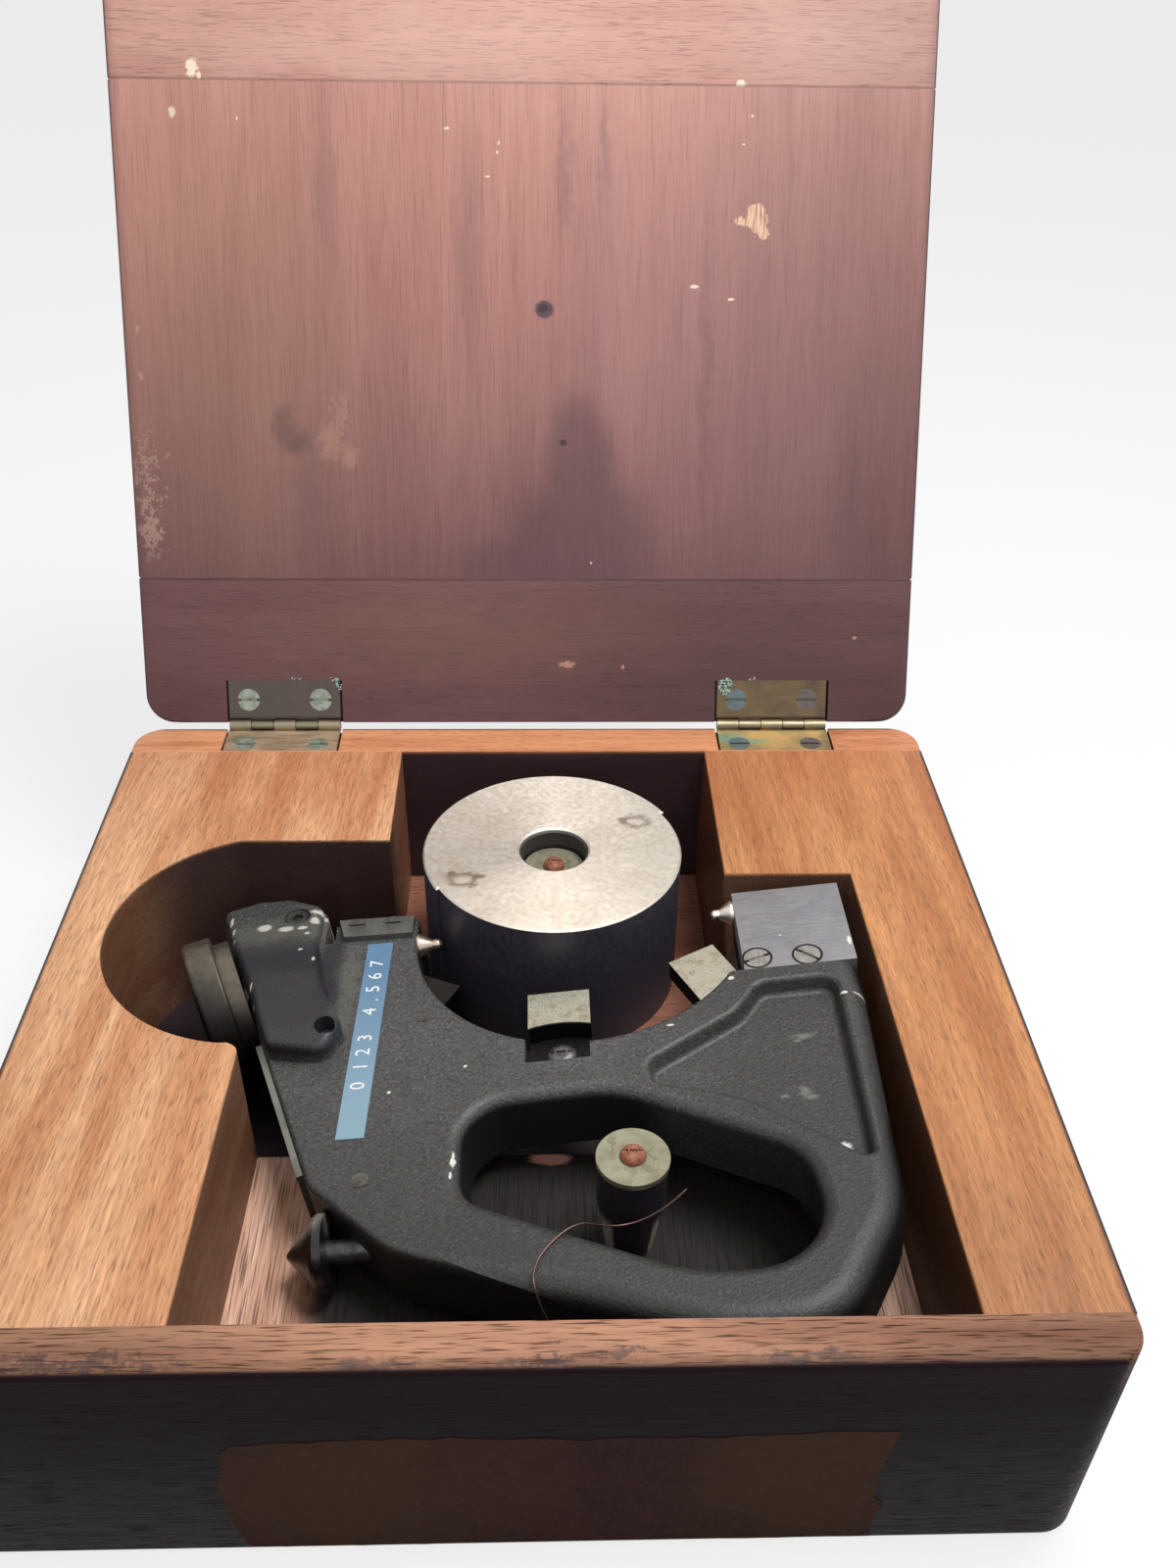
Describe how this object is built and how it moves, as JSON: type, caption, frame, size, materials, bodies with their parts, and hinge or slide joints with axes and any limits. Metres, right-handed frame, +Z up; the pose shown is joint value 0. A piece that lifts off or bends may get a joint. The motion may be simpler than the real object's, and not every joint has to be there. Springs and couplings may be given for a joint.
{
  "type": "dial indicator gauge case",
  "caption": "Wooden case with a hinged lid, holding a frame gauge with a dial indicator and its round setting master in sawn pockets.",
  "frame": {"origin": "centre of the underside of the case, without the lid", "axes": "+X to the right along the hinges, +Y from the front towards the hinged back, +Z up"},
  "size_m": [0.2572, 0.361, 0.2867],
  "materials": {
    "mahogany": "old satin varnish, worn",
    "pale_wood": "bare, matte",
    "paper": "stained paper, matte",
    "hinge_brass": "aged",
    "washer_brass": "dull, tarnished",
    "rusty_steel": "rusty",
    "ground_steel": "ground",
    "dark_screw": "oxide black",
    "wrinkle_paint": "wrinkle paint",
    "pale_tip": "polished",
    "blue_tape": "embossed tape",
    "indicator_metal": "satin",
    "crystal": "clear",
    "dial_white": "matte white",
    "hand_black": "black",
    "black_plastic": "glossy black"
  },
  "bodies": {
    "case": {"front_board": "mahogany", "back_board": "mahogany", "left_block": "mahogany", "right_block": "mahogany", "bottom_board": "mahogany", "rest_board": "pale_wood", "paper_label": "paper", "master_post": "pale_wood", "handle_post": "pale_wood", "post_washers": "washer_brass", "post_screws": "rusty_steel", "hinge_case_leaf_left": "hinge_brass", "hinge_case_leaf_right": "hinge_brass", "hinge_pins": "hinge_brass", "hinge_case_screws": "hinge_brass"},
    "lid": {"lid_panel": "mahogany", "lid_rear_rail": "mahogany", "lid_front_rail": "mahogany", "hinge_lid_leaf_left": "hinge_brass", "hinge_lid_leaf_right": "hinge_brass", "hinge_lid_screws": "hinge_brass"},
    "master": {"setting_master": "ground_steel"},
    "gauge": {"gauge_frame": "wrinkle_paint", "cowl": "wrinkle_paint", "cowl_screws": "dark_screw", "side_plate": "ground_steel", "blue_tape": "blue_tape", "dowel_pins": "ground_steel", "anvil_block": "ground_steel", "anvil_block_screws": "dark_screw", "fixed_tip": "pale_tip", "guide_plate": "ground_steel", "guide_plate_screws": "dark_screw", "rest_pad_centre": "ground_steel", "rest_pad_screw": "dark_screw", "rest_pad_right": "ground_steel", "rest_pad_left": "ground_steel", "indicator_case": "indicator_metal", "lever_pin": "ground_steel", "tie_wire": "ground_steel"},
    "anvil": {"moving_tip": "pale_tip", "spindle": "ground_steel"},
    "lever": {"transfer_lever": "ground_steel"},
    "plunger": {"plunger": "ground_steel"},
    "hand": {"hand": "hand_black"},
    "bezel": {"bezel": "indicator_metal", "crystal": "crystal", "dial_plate": "dial_white"},
    "knob": {"retract_knob": "black_plastic", "retract_shaft": "ground_steel"}
  },
  "joints": [
    {"name": "lid_hinge", "type": "hinge", "parent": "case", "child": "lid", "pos_m": [0, 0.12164, 0.06975], "axis": [-1, 0, 0], "range_deg": [-116.3, 63.7]},
    {"name": "gauge_lift", "type": "slide", "parent": "case", "child": "gauge", "axis": [0, 0, 1], "range_m": [0, 0.08]},
    {"name": "master_lift", "type": "slide", "parent": "case", "child": "master", "axis": [0, 0, 1], "range_m": [0, 0.06]},
    {"name": "anvil_slide", "type": "slide", "parent": "gauge", "child": "anvil", "axis": [-0.9925, -0.0078, -0.1219], "range_m": [0, 0.002], "stiffness_N_per_m": 200},
    {"name": "lever_swing", "type": "hinge", "parent": "gauge", "child": "lever", "pos_m": [-0.06363, 0.00639, 0.04538], "axis": [-0.1219, -0.001, 0.9925], "range_deg": [0, 3.86]},
    {"name": "plunger_slide", "type": "slide", "parent": "gauge", "child": "plunger", "axis": [-0.9294, -0.351, -0.1144], "range_m": [0, 0.000943]},
    {"name": "hand_turn", "type": "hinge", "parent": "gauge", "child": "hand", "pos_m": [-0.07966, 0.01529, 0.04342], "axis": [0.9294, 0.351, 0.1144], "range_deg": [0, 133.6]},
    {"name": "retract_slide", "type": "slide", "parent": "gauge", "child": "knob", "axis": [-0.9925, -0.0078, -0.1219], "range_m": [0, 0.002]},
    {"name": "bezel_turn", "type": "hinge", "parent": "gauge", "child": "bezel", "pos_m": [-0.07966, 0.01529, 0.04342], "axis": [-0.9294, -0.351, -0.1144], "range_deg": [-180, 180]}
  ],
  "couplings": [
    {"joint": "lever_swing", "follows": "anvil_slide", "rad_per_m": 33.654},
    {"joint": "plunger_slide", "follows": "anvil_slide", "ratio": 0.47116},
    {"joint": "hand_turn", "follows": "anvil_slide", "rad_per_m": 1165.5},
    {"joint": "retract_slide", "follows": "anvil_slide", "ratio": 1}
  ]
}
